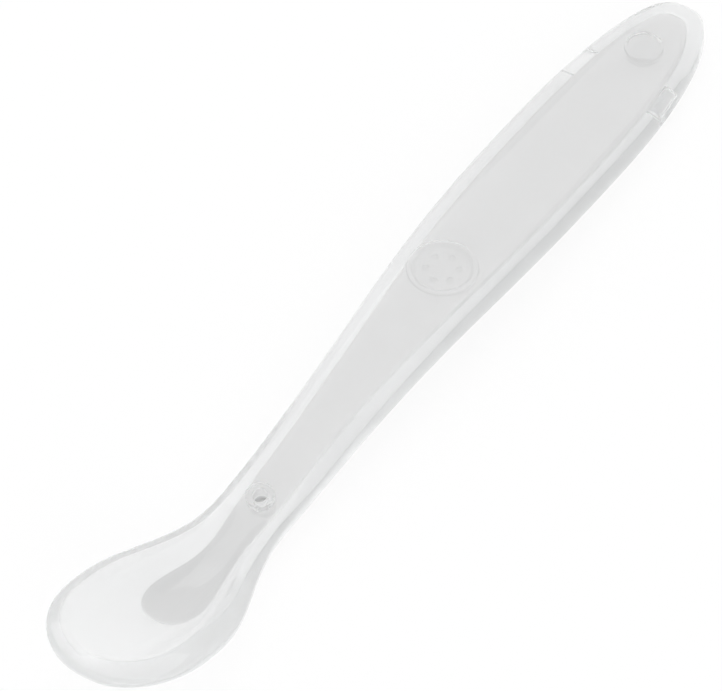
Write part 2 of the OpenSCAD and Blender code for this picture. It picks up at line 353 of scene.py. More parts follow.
def soft_floor(z, softness):
    """z where it is above 0 and 0 below, turned smoothly: (z + √(z² + s²)) / 2."""
    return (z + np.sqrt(z * z + softness * softness)) / 2


class SpoonForm:
    """The spoon as functions of the place x along it, from the bowl tip, and of y across it."""

    def __init__(self, scene):
        self.bowl = scene.spoon_bowl
        self.handle = scene.spoon_handle
        self.core = scene.spoon_core
        self.widest_x = SPOON_LENGTH - self.handle.widest_back
        self.core_end_x = SPOON_LENGTH - self.core.end_wall

    def half_width(self, x):
        """A superellipse at each end, and slow eases from bowl to neck and from neck to handle."""
        bowl, handle = self.bowl, self.handle
        front = BOWL_WIDTH * round_out(1 - x / bowl.widest_x, BOWL_PLAN_SHARE)
        to_neck = mix(BOWL_WIDTH, handle.neck_width,
                      slow_ease(between(x, bowl.widest_x, handle.neck_x)))
        to_handle = mix(handle.neck_width, handle.width,
                        slow_ease(between(x, handle.neck_x, self.widest_x)))
        end = handle.width * round_out(between(x, self.widest_x, SPOON_LENGTH), HANDLE_PLAN_SHARE)
        return np.select([x < bowl.widest_x, x < handle.neck_x, x < self.widest_x],
                         [front, to_neck, to_handle], end) / 2

    def side_line(self, x):
        """Height of the rim line and side line: down to the neck, up to the crest, down again."""
        handle = self.handle
        falling = mix(self.bowl.tip_height, handle.low_height, ease(x / handle.low_x))
        rising = mix(handle.low_height, handle.crest_height,
                     ease(between(x, handle.low_x, handle.crest_x)))
        ending = mix(handle.crest_height, handle.end_height,
                     ease(between(x, handle.crest_x, SPOON_LENGTH)))
        return np.select([x < handle.low_x, x < handle.crest_x], [falling, rising], ending)

    def keel(self, x):
        """Underside below the side line in the middle: a parabola in the bowl, then two eases."""
        bowl, handle = self.bowl, self.handle
        front = mix(bowl.rim_edge, bowl.depth, 1 - (1 - x / bowl.deepest_x) ** 2)
        to_neck = mix(bowl.depth, handle.neck_depth,
                      ease(between(x, bowl.deepest_x, handle.neck_x)))
        to_crest = mix(handle.neck_depth, handle.depth,
                       ease(between(x, handle.neck_x, handle.crest_x)))
        ends = edge_round(x, bowl.rim_edge)
        ends = ends * edge_round(SPOON_LENGTH - x, handle.depth * END_FULLNESS_SHARE)
        return ends * np.select([x < bowl.deepest_x, x < handle.neck_x], [front, to_neck], to_crest)

    def swell(self, x):
        """Top face above the side line in the middle, before the basin is sunk."""
        bowl, handle = self.bowl, self.handle
        ends = edge_round(x, bowl.rim_edge)
        ends = ends * edge_round(SPOON_LENGTH - x, handle.crown * END_FULLNESS_SHARE)
        return ends * mix(bowl.rim_edge, handle.crown,
                          ease(between(x, handle.swell_start_x, handle.swell_end_x)))

    def section_power(self, x):
        """Sections turn from nearly elliptical in the bowl to fuller ones in the handle."""
        return mix(BOWL_SECTION_SHARE, HANDLE_SECTION_SHARE, self.out_of_bowl(x))

    def basin_half_width(self, x):
        """The outline moved in by the rim, which gets narrower towards the neck."""
        bowl = self.bowl
        front = (BOWL_WIDTH / 2 - bowl.rim_width) * round_out(
            1 - between(x, bowl.rim_width, bowl.widest_x), BOWL_PLAN_SHARE)
        rim = mix(bowl.rim_width, bowl.neck_rim_width,
                  ease(between(x, bowl.deepest_x, self.handle.neck_x)))
        return np.where(x < bowl.widest_x, front, self.half_width(x) - rim)

    def basin_depth(self, x):
        """Depth of the basin in the middle, which leaves the floor at its wall."""
        bowl = self.bowl
        full = np.maximum(0, self.swell(x) + self.keel(x) - bowl.floor_wall)
        front = round_out(1 - between(x, bowl.rim_width, bowl.basin_full_x), BASIN_WALL_SHARE)
        return full * front * (1 - ease(between(x, bowl.basin_rise_x, bowl.basin_end_x)))

    def basin_share(self, x, y):
        """1 in the middle of the basin and 0 at its edge: (1 - |y/w|^a)^b."""
        inner = self.basin_half_width(x)
        across = clipped(np.abs(y) / np.maximum(inner, TINY))
        return np.where(inner > 0, (1 - across ** BASIN_WALL_SHARE) ** BASIN_EDGE_SHARE, 0)

    def section_share(self, x, y):
        """Height of the section's quarter superellipse at y, as a share of its middle."""
        return round_out(np.abs(y) / np.maximum(self.half_width(x), TINY), self.section_power(x))

    def top_face(self, x, y=0.0):
        """Height of the top face."""
        x = np.asarray(x, float)
        swollen = self.swell(x) * self.section_share(x, y)
        return self.side_line(x) + swollen - self.basin_depth(x) * self.basin_share(x, y)

    def side_face(self, x, z):
        """Half of the width at height z, where the section leaves the side line."""
        above = z - self.side_line(x)
        extent = np.where(above > 0, self.swell(x), self.keel(x))
        return self.half_width(x) * round_out(np.abs(above) / extent, self.section_power(x))

    def core_half_width(self, x):
        """A round tongue, eases to the waist and out again, then the handle's outline moved in."""
        core = self.core
        tongue = core.tongue_width / 2 * round_out(
            1 - between(x, core.tongue_tip_x, core.tongue_widest_x), 2)
        to_waist = mix(core.tongue_width, core.waist_width,
                       ease(between(x, core.tongue_widest_x, core.waist_x))) / 2
        to_handle = mix(core.waist_width / 2, self.half_width(x) - core.side_wall,
                        ease(between(x, core.waist_x, core.follow_x)))
        end = (self.handle.width / 2 - core.side_wall) * round_out(
            between(x, self.widest_x, self.core_end_x), HANDLE_PLAN_SHARE)
        return np.select([x < core.tongue_widest_x, x < core.waist_x, x < self.widest_x],
                         [tongue, to_waist, to_handle], end)

    def out_of_bowl(self, x):
        """0 in the bowl and 1 in the handle, in a smooth step."""
        return ease(between(x, self.bowl.basin_rise_x, self.core.follow_x))

    def core_full_half(self, x):
        """Half of the core's thickness between its two ends."""
        core = self.core
        return mix(core.tongue_thickness, core.strip_thickness, self.out_of_bowl(x)) / 2

    def core_middle(self, x):
        """The core is flat across. It lies below the middle of the basin in the bowl, and below
        the lower sides of the crowned top face in the handle."""
        turn = ease(between(x, self.bowl.basin_end_x, self.core.follow_x))
        lowest = mix(self.top_face(x), self.top_face(x, self.core_half_width(x)), turn)
        cover = mix(self.core.tongue_cover, self.core.top_cover, self.out_of_bowl(x))
        return lowest - cover - self.core_full_half(x)

    def core_top(self, x, y=0.0):
        """Height of the core's own top face."""
        across = np.abs(y) / self.core_half_width(x)
        return self.core_middle(x) + self.core_half_thickness(x) * round_out(
            across, CORE_SECTION_SHARE)

    def core_half_thickness(self, x):
        """Half of the core's thickness, rounded at both ends."""
        full = self.core_full_half(x)
        return (full * edge_round(x - self.core.tongue_tip_x, full)
                * edge_round(self.core_end_x - x, full))

    def placed(self, points):
        """Points from the bowl tip moved to the frame's own place."""
        return points + np.array([CAD_BOX[0].x, 0, -self.handle.rest_flat])


class Skin:
    """Points and faces gathered from grids and rings before they become one mesh."""

    def __init__(self):
        self.points, self.quads, self.triangles, self.count = [], [], [], 0

    def add(self, points):
        """Keeps an array of points and gives each a number."""
        numbers = self.count + np.arange(points[..., 0].size).reshape(points.shape[:-1])
        self.points.append(points.reshape(-1, 3))
        self.count += numbers.size
        return numbers

    def add_band(self, loops, kept=True):
        """Four-sided faces between each closed loop of numbers and the next, where kept."""
        following = np.roll(loops, -1, axis=1)
        quads = np.stack([loops[:-1], following[:-1], following[1:], loops[1:]], axis=-1)
        self.quads.append(quads[np.broadcast_to(kept, quads.shape[:2])])

    def add_cap(self, loop, pole):
        """Triangles from a closed loop of numbers to one point in its middle."""
        middle = np.full(len(loop), self.add(pole.reshape(1, 3))[0])
        self.triangles.append(np.stack([loop, np.roll(loop, -1), middle], axis=-1))

    def mesh_object(self, name, material):
        """One smooth object whose faces point outwards: the volume that they enclose, one sixth
        of the sum of a · (b × c) over the faces, is above zero."""
        points = np.concatenate(self.points)
        quads, triangles = np.concatenate(self.quads), np.concatenate(self.triangles)
        a, b, c = (points[quads[:, i]] for i in (0, 1, 2))
        if np.einsum("ij,ij->", a, np.cross(b, c)) < 0:
            quads, triangles = quads[:, ::-1], triangles[:, ::-1]
        corners = np.concatenate([quads.ravel(), triangles.ravel()])
        used, corners = np.unique(corners, return_inverse=True)
        return made_mesh(name, points[used], corners, [4] * len(quads) + [3] * len(triangles),
                         material)


def closed_skin(form, grid, openings, *poles):
    """A skin from rings of points, with each opening's rings in place of its block, closed at
    both ends by triangles to a pole."""
    skin = Skin()
    numbers = skin.add(form.placed(grid))
    kept = np.ones((len(numbers) - 1, numbers.shape[1]), bool)
    for opening in openings:
        opening.fill(skin, numbers, kept)
    skin.add_band(numbers, kept)
    for loop, pole in zip((numbers[0, ::-1], numbers[-1]), poles):
        skin.add_cap(loop, form.placed(np.array(pole)))
    return skin


def made_mesh(name, points, corners, counts, material):
    """One smooth mesh object from whole arrays of points, face corners and corners per face."""
    starts = np.concatenate([[0], np.cumsum(counts)[:-1]])
    mesh = bpy.data.meshes.new(name)
    mesh.vertices.add(len(points))
    mesh.vertices.foreach_set("co", points.astype(np.float32).ravel())
    mesh.loops.add(len(corners))
    mesh.loops.foreach_set("vertex_index", corners.astype(np.int32).ravel())
    mesh.polygons.add(len(counts))
    mesh.polygons.foreach_set("loop_start", starts.astype(np.int32))
    mesh.polygons.foreach_set("use_smooth", np.ones(len(counts), bool))
    mesh.update(calc_edges=True)
    mesh.validate()
    mesh.materials.append(material)
    piece = bpy.data.objects.new(name, mesh)
    bpy.context.scene.collection.objects.link(piece)
    return piece


def finished(piece, slot, *nodes):
    """Puts a piece on the spoon's body and in the place of CAD nodes, which it hides. The slot is not
    used.
    """
    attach(piece, BODY)
    if nodes:
        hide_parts(*nodes)
    return piece


def add_node(tree, kind, settings=None, links=None, **properties):
    """Adds a node, sets its properties and its sockets' values, and links sockets to it."""
    node = tree.nodes.new(kind)
    for name, value in properties.items():
        setattr(node, name, value)
    for socket, value in (settings or {}).items():
        node.inputs[socket].default_value = value
    for socket, source in (links or {}).items():
        tree.links.new(source, node.inputs[socket])
    return node


def new_material(name):
    """An empty node material."""
    material = bpy.data.materials.get(name) or bpy.data.materials.new(name)
    material.use_nodes = True
    material.node_tree.nodes.clear()
    return material


def clear_silicone(looks):
    """Platinum-cured liquid silicone, injection moulded in a polished cavity: clear with a faint
    grey depth and a light haze, an even soft gloss, the slight waviness of a soft skin, and the
    pale sheen that the skin of silicone shows where it turns away from the eye."""
    material = new_material("clear_liquid_silicone")
    tree = material.node_tree
    place = add_node(tree, "ShaderNodeTexCoord")
    waves = add_node(tree, "ShaderNodeTexNoise", {"Scale": 1 / WAVE_SPACING, "Detail": FINE_DETAIL},
                     {"Vector": place.outputs["Object"]})
    skin = add_node(tree, "ShaderNodeBump", {"Strength": WAVE_STRENGTH, "Distance": WAVE_HEIGHT},
                    {"Height": waves.outputs["Fac"]})
    glass = add_node(tree, "ShaderNodeBsdfPrincipled", {
        "Base Color": (*looks.silicone, 1), "Roughness": looks.silicone_roughness,
        "IOR": SILICONE_IOR, "Transmission Weight": 1.0,
        "Sheen Weight": looks.skin_sheen, "Sheen Roughness": looks.sheen_roughness,
    }, {"Normal": skin.outputs["Normal"]})
    let_through = add_node(tree, "ShaderNodeBsdfTransparent",
                           {"Color": (*[looks.lamp_share] * 3, 1)})
    path = add_node(tree, "ShaderNodeLightPath")
    for_diffuse = add_node(tree, "ShaderNodeMixShader", links={
        0: path.outputs["Is Diffuse Ray"], 1: glass.outputs[0], 2: let_through.outputs[0]})
    surface = add_node(tree, "ShaderNodeMixShader", links={
        0: path.outputs["Is Shadow Ray"], 1: for_diffuse.outputs[0], 2: let_through.outputs[0]})
    taken_up = add_node(tree, "ShaderNodeVolumeAbsorption", {
        "Color": (*looks.silicone_depth, 1), "Density": looks.depth_density})
    haze = add_node(tree, "ShaderNodeVolumeScatter", {
        "Color": (1, 1, 1, 1), "Density": looks.haze_density, "Anisotropy": looks.haze_forward})
    depth = add_node(tree, "ShaderNodeAddShader", links={
        0: taken_up.outputs[0], 1: haze.outputs[0]})
    add_node(tree, "ShaderNodeOutputMaterial",
             links={"Surface": surface.outputs[0], "Volume": depth.outputs[0]})
    return material


def white_nylon(looks):
    """White polyamide, injection moulded in a fine-blasted cavity: opaque, satin, with a fine
    grain and the faint cloudiness of a filled plastic."""
    material = new_material("white_moulded_nylon")
    tree = material.node_tree
    place = add_node(tree, "ShaderNodeTexCoord")
    cloud = add_node(tree, "ShaderNodeTexNoise", {"Scale": 1 / CLOUD_SPACING, "Detail": CLOUD_DETAIL},
                     {"Vector": place.outputs["Object"]})
    grain = add_node(tree, "ShaderNodeTexNoise", {"Scale": 1 / GRAIN_SPACING, "Detail": FINE_DETAIL},
                     {"Vector": place.outputs["Object"]})
    darker = tuple(CLOUD_SHARE * part for part in looks.core)
    tone = add_node(tree, "ShaderNodeMix", {6: (*darker, 1), 7: (*looks.core, 1)},
                    {0: cloud.outputs["Fac"]}, data_type="RGBA")
    blasted = add_node(tree, "ShaderNodeBump", {"Strength": GRAIN_STRENGTH, "Distance": GRAIN_HEIGHT},
                       {"Height": grain.outputs["Fac"]})
    plastic = add_node(tree, "ShaderNodeBsdfPrincipled", {
        "Roughness": looks.core_roughness, "IOR": NYLON_IOR,
        "Subsurface Weight": 1.0, "Subsurface Radius": (1, 1, 1), "Subsurface Scale": NYLON_DEPTH,
    }, {"Base Color": tone.outputs[2], "Normal": blasted.outputs["Normal"]})
    add_node(tree, "ShaderNodeOutputMaterial", links={"Surface": plastic.outputs[0]})
    return material


def even_turns(count, section_share):
    """Angles whose points lie in equal steps on a superellipse of equal axes. A step counts
    double towards both sides, where the rim of the bowl and the basin's wall turn fastest."""
    fine = np.linspace(0, 2 * np.pi, FINE_STEPS + 1)
    power = 2 / section_share
    across, up = signed_power(np.cos(fine), power), signed_power(np.sin(fine), power)
    steps = np.hypot(np.diff(across), np.diff(up))
    middle = np.abs(across[1:] + across[:-1]) / 2
    steps = steps * (1 + ease(between(middle, SIDE_START_SHARE, SIDE_END_SHARE)))
    run = np.concatenate([[0], np.cumsum(steps)])
    return np.interp(np.arange(count) * run[-1] / count, run, fine)[None, :]


def rounded_profile(corners, radius):
    """A profile of reach and height with each inner corner turned by an arc of that radius,
    or of a third of the shorter side where that is less."""
    corners = np.array(corners, float)
    parts = [corners[:1]]
    for before, at, after in zip(corners, corners[1:], corners[2:]):
        to_before, to_after = before - at, after - at
        lengths = np.hypot(*to_before), np.hypot(*to_after)
        reach = min(radius, min(lengths) * CORNER_SHARE)
        start, end = at + to_before / lengths[0] * reach, at + to_after / lengths[1] * reach
        t = np.linspace(0, 1, CORNER_STEPS)[:, None]
        parts.append((1 - t) ** 2 * start + 2 * t * (1 - t) * at + t ** 2 * end)
    parts.append(corners[-1:])
    return np.concatenate(parts)


def quarter_round(radius):
    """Run and rise of a quarter circle that starts level, without its first point."""
    turn = np.linspace(0, np.pi / 2, CORNER_STEPS)[1:]
    return radius * np.sin(turn), radius * (1 - np.cos(turn))


class Relief:
    """A round form on the top face. Place a runs along the spoon and b across it, on a plane that
    touches the top face in the form's middle, and heights are square to that plane."""

    straight = 0.0
    corner_angle = math.pi / 4
    middle_share = 0.25
    b_sign = -1
    steps = RELIEF_STEPS

    def __init__(self, form, cut, x, profile, bumps=None, face=None):
        """profile: reach and height from the wall's foot inwards to the middle. The face is the
        form's top face where no other is given, and the wall may also lead down from it."""
        self.form, self.x, self.bumps, self.face = form, x, bumps, face or form.top_face
        step = 1 * MM
        self.slope = math.atan2(float(self.face(x + step) - self.face(x - step)), 2 * step)
        profile = rounded_profile(profile, cut.corner)
        radius, wall = profile[1]
        run, rise = quarter_round(cut.foot)
        foot_share = rise / abs(wall)
        up_wall = np.linspace(foot_share[-1], 1, RELIEF_WALL_STEPS)[1:-1]
        self.shares = np.concatenate([foot_share, up_wall, np.ones(len(profile) - 2)])
        self.reaches = np.concatenate([radius + cut.foot - run, radius + 0 * up_wall,
                                       profile[1:-1, 0]])
        self.heights = np.concatenate([wall + 0 * run, wall + 0 * up_wall, profile[1:-1, 1]])
        self.floor_height = profile[-1, 1]
        self.mouth = radius + cut.foot + cut.apron
        self.half_length = self.half_height = BLOCK_SHARE * self.mouth

    def local(self, points):
        """Place a and b of points of the skin."""
        return (points[..., 0] - self.x) / math.cos(self.slope), points[..., 1]

    def on_skin(self, a, b):
        """The skin's own points at place a and b."""
        x = self.x + a * math.cos(self.slope)
        return np.stack([x, b, self.face(x, b)], axis=-1)

    def lifted(self, a, b, height):
        """Points at a height above the tilted plane."""
        height = height + (self.bumps(a, b) if self.bumps else 0)
        x = self.x + a * math.cos(self.slope) - height * math.sin(self.slope)
        z = self.face(self.x) + a * math.sin(self.slope) + height * math.cos(self.slope)
        return np.stack([x, b + 0 * x, z], axis=-1)


class SideSlot:
    """A slot with round ends in one side wall, level with the side line. Place a runs along the
    spoon and b upwards, and the slot runs in square to them until it bares the core's edge."""

    corner_angle = math.radians(75)
    steps = SLOT_STEPS

    def __init__(self, form, cut, side):
        self.form, self.side = form, side
        self.x = SPOON_LENGTH - cut.slot_back
        self.z = float(form.side_line(self.x))
        self.middle_share, self.b_sign = (0.0, 1) if side > 0 else (0.5, -1)
        radius = cut.slot_height / 2
        self.straight = cut.slot_length / 2 - radius
        self.floor = float(form.core_half_width(self.x)) - cut.slot_bite
        depth = float(form.half_width(self.x)) - self.floor
        run, rise = quarter_round(cut.slot_edge)
        down = np.linspace(rise[-1] / depth, 1, SLOT_WALL_STEPS)[1:]
        self.shares = np.concatenate([rise / depth, down])
        self.reaches = np.concatenate([radius + cut.slot_edge - run, radius + 0 * down])
        self.heights, self.floor_height = 0 * self.shares, 0.0
        self.mouth = radius + cut.slot_edge + cut.apron
        self.half_height = BLOCK_SHARE * self.mouth
        self.half_length = self.straight + self.half_height

    def local(self, points):
        """Place a and b of points of the skin."""
        return points[..., 0] - self.x, points[..., 2] - self.z

    def on_skin(self, a, b):
        """The skin's own points at place a and b."""
        x, z = self.x + a, self.z + b
        return np.stack([x, self.side * self.form.side_face(x, z), z], axis=-1)

    def lifted(self, a, b, height):
        """Points on the floor of the slot."""
        return np.stack([self.x + a + 0 * b, self.side * self.floor + 0 * (a + b),
                         self.z + b + 0 * a], axis=-1)


def mouth_ray(mouth, p, q):
    """Where the ray through place p, q of a square round the mouth starts on the mouth's middle
    line, and its direction. Equal steps along the square's edges are equal steps on the mouth."""
    size_pq = np.maximum(np.maximum(np.abs(p), np.abs(q)), TINY)
    p, q = p / size_pq, q / size_pq
    run = np.abs(p) * (mouth.straight + (math.pi / 2 - mouth.corner_angle) * mouth.mouth)
    beyond = np.maximum(run - mouth.straight, 0) / mouth.mouth
    along = np.abs(q) >= np.abs(p)
    lean = np.where(along, math.pi / 2 - beyond, np.abs(q) * mouth.corner_angle)
    start = np.where(along, np.minimum(run, mouth.straight), mouth.straight) * np.sign(p)
    return start, np.cos(lean) * np.sign(p), np.sin(lean) * np.sign(q)


def nearest(values, place):
    """Number of the value that is nearest to a place."""
    return int(np.abs(values - place).argmin())


def at_fraction(values, i, j):
    """Values of a grid at fractional rows and columns, in linear steps. Columns run round."""
    i0, j0 = np.floor(i).astype(int), np.floor(j).astype(int)
    u, v = i - i0, j - j0
    i1, j1 = np.minimum(i0 + 1, len(values) - 1), (j0 + 1) % values.shape[1]
    j0 = j0 % values.shape[1]
    return mix(mix(values[i0, j0], values[i0, j1], v), mix(values[i1, j0], values[i1, j1], v), u)


class Opening:
    """The block of the skin's grid that gives way to one mouth, and its edge as a closed loop of
    rows i and columns j. Places p and q are -1 and 1 at the block's edges."""

    def __init__(self, grid, x, mouth):
        rows, columns = grid.shape[:2]
        self.first = nearest(x, mouth.x - mouth.half_length)
        self.last = nearest(x, mouth.x + mouth.half_length)
        across = np.abs(mouth.local(grid[(self.first + self.last) // 2])[1])
        reach = columns // BLOCK_REACH
        near = round(mouth.middle_share * columns) + np.arange(-reach, reach)
        self.middle = int(near[across[near % columns].argmin()])
        tries = np.arange(1, reach)
        upwards = (self.middle + mouth.b_sign * tries) % columns
        self.half = int(tries[nearest(across[upwards], mouth.half_height)])
        self.low, self.high = self.middle - self.half, self.middle + self.half
        up, along = 2 * self.half, self.last - self.first
        self.i = np.concatenate([np.full(up, self.first), np.arange(self.first, self.last),
                                 np.full(up, self.last), np.arange(self.last, self.first, -1)])
        self.j = np.concatenate([np.arange(self.low, self.high), np.full(along, self.high),
                                 np.arange(self.high, self.low, -1), np.full(along, self.low)])
        self.columns = columns
        self.mouth = mouth
        self.draw_in(grid, rows)

    def places(self, i, j):
        """Places p and q of rows and columns."""
        p = (i - (self.first + self.last) / 2) / ((self.last - self.first) / 2)
        offset = (j - self.middle + self.columns // 2) % self.columns - self.columns // 2
        return p, self.mouth.b_sign * offset / self.half

    def draw_in(self, grid, rows):
        """Moves the grid's points so that the block's edge lies on the mouth's. Outside it the
        same move fades out by a smooth step."""
        mouth = self.mouth
        p, q = self.places(np.arange(rows)[:, None], np.arange(self.columns)[None, :])
        p, q = p + 0 * q, q + 0 * p
        distance = np.maximum(np.abs(p), np.abs(q))
        near = (distance >= 1) & (distance < DRAWN_SHARE)
        p, q, distance = p[near], q[near], distance[near]
        start, cosine, sine = mouth_ray(mouth, p, q)
        a, b = mouth.local(grid)
        i = (self.first + self.last) / 2 + p / distance * (self.last - self.first) / 2
        j = self.middle + mouth.b_sign * q / distance * self.half
        move = 1 - ease((distance - 1) / (DRAWN_SHARE - 1))
        drawn_a = a[near] + move * (start + mouth.mouth * cosine - at_fraction(a, i, j))
        drawn_b = b[near] + move * (mouth.mouth * sine - at_fraction(b, i, j))
        grid[near] = mouth.on_skin(drawn_a, drawn_b)

    def fill(self, skin, numbers, kept):
        """Takes the block's faces off the skin and puts the mouth's rings in their place."""
        mouth = self.mouth
        kept[self.first:self.last, np.arange(self.low, self.high) % self.columns] = False
        start, cosine, sine = mouth_ray(mouth, *self.places(self.i, self.j))
        reach = mouth.reaches[:, None]
        a, b = start + reach * cosine, reach * sine
        rings = mix(mouth.on_skin(a, b), mouth.lifted(a, b, mouth.heights[:, None]),
                    mouth.shares[:, None, None])
        loops = skin.add(mouth.form.placed(rings))
        edge = numbers[self.i, self.j % self.columns]
        skin.add_band(np.concatenate([edge[None], loops]))
        skin.add_cap(loops[-1], mouth.form.placed(mouth.lifted(0.0, 0.0, mouth.floor_height)))


def core_bore(form, cut):
    """The blind bore in the core strip, which a pin of the mould leaves."""
    return Relief(form, cut, cut.boss_x, [
        (cut.bore_d / 2, 0), (cut.bore_d / 2, -cut.bore_depth), (0, -cut.bore_depth)],
        face=form.core_top)


def neck_boss(form, cut):
    """The round boss at the neck, with a hole down to the core strip. The hole's closed end lies
    inside the core, between the floor of its bore and its underside."""
    x = cut.boss_x
    inside = (form.core_half_thickness(x) * 2 - cut.bore_depth) / 2
    bottom = float(form.core_top(x) - cut.bore_depth - inside - form.top_face(x))
    return Relief(form, cut, cut.boss_x, [
        (cut.boss_d / 2, 0), (cut.boss_d / 2, cut.boss_proud), (cut.hole_d / 2, cut.boss_proud),
        (cut.hole_d / 2, bottom), (0, bottom)])


def thumb_disc(form, cut):
    """The thumb disc: a flat rim, a slope and a dished face with a ring of grip domes."""
    rim_r = cut.disc_d / 2 - cut.disc_rim
    face_r = rim_r - cut.disc_slope
    face_h = cut.disc_proud - cut.disc_dish

    def domes(a, b):
        """Each dome is h (1 - d²)^1.3 of the distance d from its middle, 1 at its edge."""
        angles = 2 * np.pi * np.arange(cut.dome_count) / cut.dome_count
        middles = cut.dome_circle_d / 2 * np.stack([np.cos(angles), np.sin(angles)])
        distance = np.hypot(np.expand_dims(a, -1) - middles[0], np.expand_dims(b, -1) - middles[1])
        bump = 1 - clipped(distance / (cut.dome_d / 2)) ** 2
        return cut.dome_h * (bump ** DOME_SHARE).sum(-1)

    relief = Relief(form, cut, cut.disc_x, [
        (cut.disc_d / 2, 0), (cut.disc_d / 2, cut.disc_proud), (rim_r, cut.disc_proud),
        (face_r, face_h), (0, face_h)], domes)
    across = np.linspace(relief.reaches[-1], 0, FACE_RINGS)[1:-1]
    relief.reaches = np.concatenate([relief.reaches, across])
    relief.heights = np.concatenate([relief.heights, face_h + 0 * across])
    relief.shares = np.concatenate([relief.shares, 1 + 0 * across])
    return relief


def end_pad(form, cut):
    """The round pad near the handle end: a narrow lip round a flat face."""
    inner = cut.pad_d / 2 - cut.pad_lip
    face = cut.pad_proud - cut.pad_dish
    return Relief(form, cut, SPOON_LENGTH - cut.pad_back, [
        (cut.pad_d / 2, 0), (cut.pad_d / 2, cut.pad_proud), (inner, cut.pad_proud),
        (inner, face), (0, face)])


def stations(start, end, steps, mouths):
    """Places from start to end. They crowd towards both ends as a cosine does, and each mouth
    adds its own steps over its length, which fade out beside it."""
    fine = np.linspace(start, end, FINE_STEPS)
    count = steps * np.arccos(clipped(1 - between(fine, start, end)) * 2 - 1) / np.pi
    for mouth in {mouth.x: mouth for mouth in mouths}.values():
        beyond = np.abs(fine - mouth.x) / mouth.half_length - 1
        extra = (1 - ease(beyond)) * mouth.steps / (2 * mouth.half_length)
        count = count + np.cumsum(extra) * (fine[1] - fine[0])
    return np.interp(np.arange(1, int(count[-1])), count, fine)[:, None]


class SPOON_OT_silicone_body(bpy.types.Operator):
    """Make the clear silicone body with its bowl, handle, boss, disc, pad and side slots"""

    bl_idname = "spoon.silicone_body"
    bl_label = "Silicone body"

    def execute(self, context):
        form, cut = SpoonForm(context.scene), context.scene.spoon_reliefs
        handle, looks = form.handle, context.scene.spoon_looks
        mouths = [neck_boss(form, cut), thumb_disc(form, cut), end_pad(form, cut),
                  SideSlot(form, cut, 1), SideSlot(form, cut, -1)]
        x = stations(0, SPOON_LENGTH, BODY_STATIONS, mouths)
        turn = even_turns(BODY_POINTS, EVEN_SECTION_SHARE)
        power = 2 / form.section_power(x)
        y = form.half_width(x) * signed_power(np.cos(turn), power)
        rise = signed_power(np.sin(turn), power)
        basin = form.basin_depth(x) * form.basin_share(x, y)
        z = form.side_line(x) + np.where(
            rise > 0, rise * form.swell(x) - basin, rise * form.keel(x))
        grid = np.stack([x + 0 * y, y, z], axis=-1)
        openings = [Opening(grid, x[:, 0], mouth) for mouth in mouths]
        grid[..., 2] = handle.rest_flat + soft_floor(
            grid[..., 2] - handle.rest_flat, handle.flat_blend)
        skin = closed_skin(form, grid, openings, [0, 0, form.bowl.tip_height],
                           [SPOON_LENGTH, 0, handle.end_height])
        piece = skin.mesh_object("clear_silicone_body", clear_silicone(looks))
        finished(piece, "clear_silicone", "silicone_body")
        return {"FINISHED"}


class SPOON_OT_core_strip(bpy.types.Operator):
    """Make the white core strip with its tongue in the bowl floor"""

    bl_idname = "spoon.core_strip"
    bl_label = "Core strip"

    def execute(self, context):
        form, looks = SpoonForm(context.scene), context.scene.spoon_looks
        core = form.core
        bore = core_bore(form, context.scene.spoon_reliefs)
        x = stations(core.tongue_tip_x, form.core_end_x, CORE_STATIONS, [bore])
        turn = even_turns(CORE_POINTS, CORE_SECTION_SHARE)
        y = form.core_half_width(x) * signed_power(np.cos(turn), 2 / CORE_SECTION_SHARE)
        z = form.core_middle(x) + form.core_half_thickness(x) * signed_power(
            np.sin(turn), 2 / CORE_SECTION_SHARE)
        grid = np.stack([x + 0 * y, y, z], axis=-1)
        openings = [Opening(grid, x[:, 0], bore)]
        poles = ([end, 0, float(form.core_middle(end))]
                 for end in (core.tongue_tip_x, form.core_end_x))
        skin = closed_skin(form, grid, openings, *poles)
        piece = skin.mesh_object("white_core_strip", white_nylon(looks))
        finished(piece, "white_core", "core_strip")
        return {"FINISHED"}


def seen_directly(tree):
    """1 for rays from the camera and for those that gloss or glass passes on, else 0."""
    path = add_node(tree, "ShaderNodeLightPath")
    bent = add_node(tree, "ShaderNodeMath", links={
        0: path.outputs["Is Glossy Ray"], 1: path.outputs["Is Transmission Ray"]},
        operation="MAXIMUM")
    seen = add_node(tree, "ShaderNodeMath", links={
        0: path.outputs["Is Camera Ray"], 1: bent.outputs[0]}, operation="MAXIMUM")
    return seen.outputs[0]


def paper_sweep(stage):
    """Matt white background paper. What the camera sees of it is mostly its own white, and the
    rest is lit, so that it keeps the spoon's shadow."""
    material = new_material("white_background_paper")
    tree = material.node_tree
    paper = add_node(tree, "ShaderNodeBsdfDiffuse", {"Color": (*stage.floor, 1)})
    glow = add_node(tree, "ShaderNodeEmission", {"Color": (1, 1, 1, 1), "Strength": 1.0})
    both = add_node(tree, "ShaderNodeMixShader", {0: FLOOR_GLOW_SHARE}, {
        1: paper.outputs[0], 2: glow.outputs[0]})
    add_node(tree, "ShaderNodeOutputMaterial", links={"Surface": both.outputs[0]})
    return material


def soft_box(name, aim, place, width, height, power):
    """A large rectangular soft light at a place, turned to face a point."""
    lamp = bpy.data.lights.new(name, "AREA")
    lamp.shape, lamp.size, lamp.size_y, lamp.energy = "RECTANGLE", width, height, power
    light = bpy.data.objects.new(name, lamp)
    light.location = place
    light.rotation_mode = "QUATERNION"
    light.rotation_quaternion = (aim - Vector(place)).to_track_quat("-Z", "Y")
    bpy.context.scene.collection.objects.link(light)
    return light


